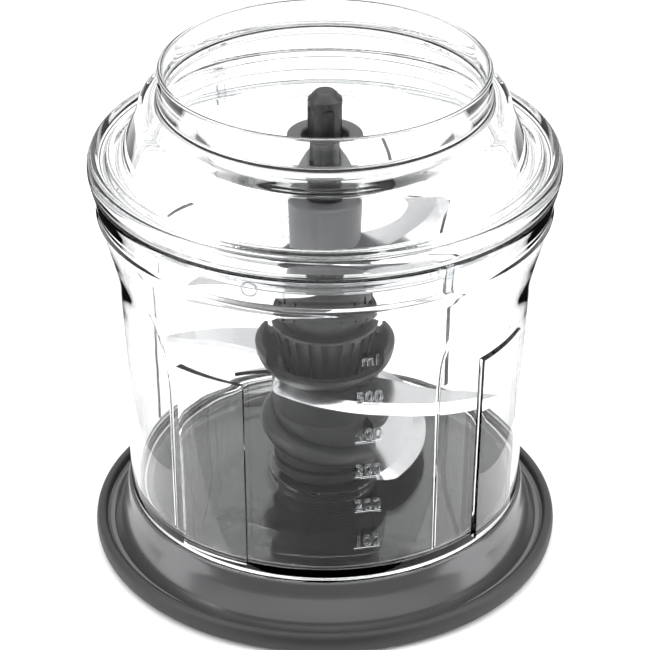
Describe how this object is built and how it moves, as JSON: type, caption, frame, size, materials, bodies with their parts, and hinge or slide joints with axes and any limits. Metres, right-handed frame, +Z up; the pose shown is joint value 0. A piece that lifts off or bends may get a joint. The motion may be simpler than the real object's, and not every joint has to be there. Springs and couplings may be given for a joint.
{
  "type": "food processor chopper bowl",
  "caption": "Clear chopper bowl on a dark non-slip base, with a clear domed lid, an open collar, and a spinning blade unit with steel blades at several heights.",
  "frame": {"origin": "centre of the underside of the base plate, on the surface it stands on", "axes": "+Z up along the common axis of base, bowl, blade unit and lid; -Y towards the side with the capacity scale"},
  "size_m": [0.1342, 0.1342, 0.1465],
  "materials": {
    "clear_plastic": "clear, polished, slightly thicker at the rims",
    "dark_gloss": "dark grey, polished",
    "grip_rubber": "dark grey, matt",
    "dark_satin": "charcoal, fine satin",
    "mid_satin": "mid grey, fine satin",
    "blade_steel": "ground and polished bevels",
    "pin_steel": "turned steel",
    "bush_plastic": "natural low-friction plastic",
    "seal_soft": "clear soft seal"
  },
  "bodies": {
    "base": {"foot_ring": "grip_rubber", "base_tray": "dark_gloss", "base_grip_rim": "grip_rubber", "seat_mat": "dark_gloss"},
    "bowl_body": {"bowl": "clear_plastic", "pivot_pin": "pin_steel", "thrust_washer": "bush_plastic"},
    "blade_unit": {"bearing_bush": "bush_plastic", "stack_tube": "pin_steel", "drive_core": "pin_steel", "drive_spindle": "dark_satin", "hub_foot": "dark_satin", "lower_blade": "blade_steel", "helical_wing": "dark_satin", "middle_drum": "dark_satin", "middle_blade": "blade_steel", "saddle_wing": "mid_satin", "fluted_knob": "dark_satin", "neck_spacer": "dark_satin", "upper_hub": "dark_satin", "upper_blade": "blade_steel", "drive_sleeve": "mid_satin"},
    "bush_body": {"lid_bush": "mid_satin", "bush_retainer": "dark_satin"},
    "lid_body": {"lid": "clear_plastic", "lid_seal": "seal_soft"}
  },
  "joints": [
    {"name": "bowl_lift", "type": "slide", "parent": "base", "child": "bowl_body", "axis": [0, 0, 1], "range_m": [0, 0.06]},
    {"name": "blade_spin", "type": "hinge", "parent": "bowl_body", "child": "blade_unit", "pos_m": [0, 0, 0.06], "axis": [0, 0, 1], "continuous": true},
    {"name": "lid_lift", "type": "slide", "parent": "bowl_body", "child": "bush_body", "axis": [0, 0, 1], "range_m": [0, 0.06]},
    {"name": "lid_turn", "type": "hinge", "parent": "bush_body", "child": "lid_body", "pos_m": [0, 0, 0.123], "axis": [0, 0, 1], "range_deg": [0, 25]}
  ]
}
